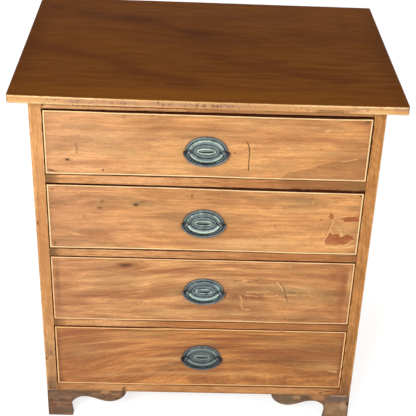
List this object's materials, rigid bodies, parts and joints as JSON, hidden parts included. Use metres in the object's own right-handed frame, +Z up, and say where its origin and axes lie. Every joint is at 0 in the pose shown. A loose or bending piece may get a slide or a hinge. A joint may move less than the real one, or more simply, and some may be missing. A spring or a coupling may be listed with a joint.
{
  "type": "bachelor's chest of drawers",
  "caption": "Small wooden chest with four sliding drawers edged in pale string, oval plates with drop bails, a thin overhanging top and scalloped bracket feet.",
  "frame": {"origin": "on the floor, under the middle of the top board, which is also the middle of the bounding box in X and Y", "axes": "+Z up, -Y out of the front, +X to the viewer's right when looking at the front"},
  "size_m": [0.8396, 0.587, 0.9121],
  "materials": {
    "top_wood": "old dark polish, soft sheen, worn pale at the edges",
    "case_wood": "old polished hardwood, soft sheen, darkened at joints",
    "front_wood": "polished honey-brown veneer with lengthwise grain and small knots",
    "string_inlay": "polished boxwood string, slightly faded",
    "inner_wood": "unpolished planed softwood, dry and dull",
    "foot_wood": "worn polished hardwood, scuffed and greyed near the floor",
    "plate_brass": "stamped brass with a grey-green patina, bright on raised rings",
    "bail_brass": "cast brass, grey patina, half polished by handling"
  },
  "bodies": {
    "case": {"top_board": "top_wood", "left_side": "case_wood", "right_side": "case_wood", "top_rail": "case_wood", "upper_rail": "case_wood", "middle_rail": "case_wood", "lower_rail": "case_wood", "bottom_rail": "case_wood", "upper_dust_board": "inner_wood", "middle_dust_board": "inner_wood", "lower_dust_board": "inner_wood", "bottom_board": "inner_wood", "lower_back_board": "inner_wood", "upper_back_board": "inner_wood", "front_left_foot_face": "foot_wood", "front_left_foot_side": "foot_wood", "front_right_foot_face": "foot_wood", "front_right_foot_side": "foot_wood", "rear_left_foot": "foot_wood", "rear_right_foot": "foot_wood"},
    "drawer_1": {"drawer_1_front": "front_wood", "drawer_1_string": "string_inlay", "drawer_1_left_side": "inner_wood", "drawer_1_right_side": "inner_wood", "drawer_1_back": "inner_wood", "drawer_1_bottom": "inner_wood", "drawer_1_plate": "plate_brass", "drawer_1_left_post": "bail_brass", "drawer_1_right_post": "bail_brass"},
    "drawer_2": {"drawer_2_front": "front_wood", "drawer_2_string": "string_inlay", "drawer_2_left_side": "inner_wood", "drawer_2_right_side": "inner_wood", "drawer_2_back": "inner_wood", "drawer_2_bottom": "inner_wood", "drawer_2_plate": "plate_brass", "drawer_2_left_post": "bail_brass", "drawer_2_right_post": "bail_brass"},
    "drawer_3": {"drawer_3_front": "front_wood", "drawer_3_string": "string_inlay", "drawer_3_left_side": "inner_wood", "drawer_3_right_side": "inner_wood", "drawer_3_back": "inner_wood", "drawer_3_bottom": "inner_wood", "drawer_3_plate": "plate_brass", "drawer_3_left_post": "bail_brass", "drawer_3_right_post": "bail_brass"},
    "drawer_4": {"drawer_4_front": "front_wood", "drawer_4_string": "string_inlay", "drawer_4_left_side": "inner_wood", "drawer_4_right_side": "inner_wood", "drawer_4_back": "inner_wood", "drawer_4_bottom": "inner_wood", "drawer_4_plate": "plate_brass", "drawer_4_left_post": "bail_brass", "drawer_4_right_post": "bail_brass"},
    "bail_1": {"drawer_1_bail": "bail_brass"},
    "bail_2": {"drawer_2_bail": "bail_brass"},
    "bail_3": {"drawer_3_bail": "bail_brass"},
    "bail_4": {"drawer_4_bail": "bail_brass"}
  },
  "joints": [
    {"name": "drawer_1_slide", "type": "slide", "parent": "case", "child": "drawer_1", "axis": [0, -1, 0], "range_m": [0, 0.4]},
    {"name": "drawer_2_slide", "type": "slide", "parent": "case", "child": "drawer_2", "axis": [0, -1, 0], "range_m": [0, 0.4]},
    {"name": "drawer_3_slide", "type": "slide", "parent": "case", "child": "drawer_3", "axis": [0, -1, 0], "range_m": [0, 0.4]},
    {"name": "drawer_4_slide", "type": "slide", "parent": "case", "child": "drawer_4", "axis": [0, -1, 0], "range_m": [0, 0.4]},
    {"name": "bail_1_swing", "type": "hinge", "parent": "drawer_1", "child": "bail_1", "pos_m": [-0.00141, -0.2624, 0.77385], "axis": [-1, 0, 0], "range_deg": [0, 170]},
    {"name": "bail_2_swing", "type": "hinge", "parent": "drawer_2", "child": "bail_2", "pos_m": [-0.00247, -0.2624, 0.58969], "axis": [-1, 0, 0], "range_deg": [0, 170]},
    {"name": "bail_3_swing", "type": "hinge", "parent": "drawer_3", "child": "bail_3", "pos_m": [0.00353, -0.2624, 0.40038], "axis": [-1, 0, 0], "range_deg": [0, 170]},
    {"name": "bail_4_swing", "type": "hinge", "parent": "drawer_4", "child": "bail_4", "pos_m": [0.00388, -0.2624, 0.20056], "axis": [-1, 0, 0], "range_deg": [0, 170]}
  ]
}
